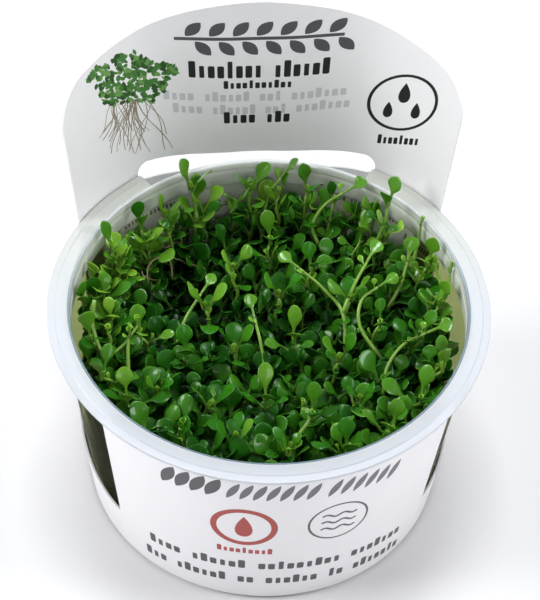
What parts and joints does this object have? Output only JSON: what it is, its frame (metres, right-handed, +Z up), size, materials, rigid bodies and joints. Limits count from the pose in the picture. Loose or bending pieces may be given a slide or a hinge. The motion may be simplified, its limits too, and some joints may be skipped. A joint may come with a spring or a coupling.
{
  "type": "glossostigma",
  "caption": "Tuft of small spoon-leaved glossostigma shoots in a clear tapered culture cup, with a card sleeve and a tall display panel round it.",
  "frame": {"origin": "centre of the underside of the cup's floor, on the surface that the cup stands on", "axes": "+Z is up along the cup's axis. -Y is the front, where the sleeve is low. +Y is the back, where the display panel stands up behind the rim. +X is to the right when facing the front."},
  "size_m": [0.104, 0.1076, 0.1032],
  "materials": {
    "clear_moulded_plastic": "clear and glossy",
    "white_coated_card": "coated card with a soft sheen",
    "nutrient_jelly": "clear wet jelly",
    "shaded_leaves": "close small leaves in shade",
    "leaf": "smooth moist leaf"
  },
  "bodies": {
    "root": {"cup": "clear_moulded_plastic", "card_sleeve": "white_coated_card", "nutrient_gel": "nutrient_jelly", "leaf_carpet": "shaded_leaves", "shoot_01": "leaf", "shoot_02": "leaf", "shoot_03": "leaf", "shoot_04": "leaf", "shoot_05": "leaf", "shoot_06": "leaf", "shoot_07": "leaf", "shoot_08": "leaf", "shoot_09": "leaf", "shoot_10": "leaf", "shoot_11": "leaf", "shoot_12": "leaf", "shoot_13": "leaf", "shoot_14": "leaf", "shoot_15": "leaf", "shoot_16": "leaf", "shoot_17": "leaf", "shoot_18": "leaf", "shoot_19": "leaf", "shoot_20": "leaf", "shoot_21": "leaf", "shoot_22": "leaf", "shoot_23": "leaf", "shoot_24": "leaf", "shoot_25": "leaf", "shoot_26": "leaf", "shoot_27": "leaf", "shoot_28": "leaf", "shoot_29": "leaf", "shoot_30": "leaf", "shoot_31": "leaf", "shoot_32": "leaf", "shoot_33": "leaf", "shoot_34": "leaf", "shoot_35": "leaf", "shoot_36": "leaf", "shoot_37": "leaf", "shoot_38": "leaf", "shoot_39": "leaf", "shoot_40": "leaf", "shoot_41": "leaf"}
  },
  "joints": []
}
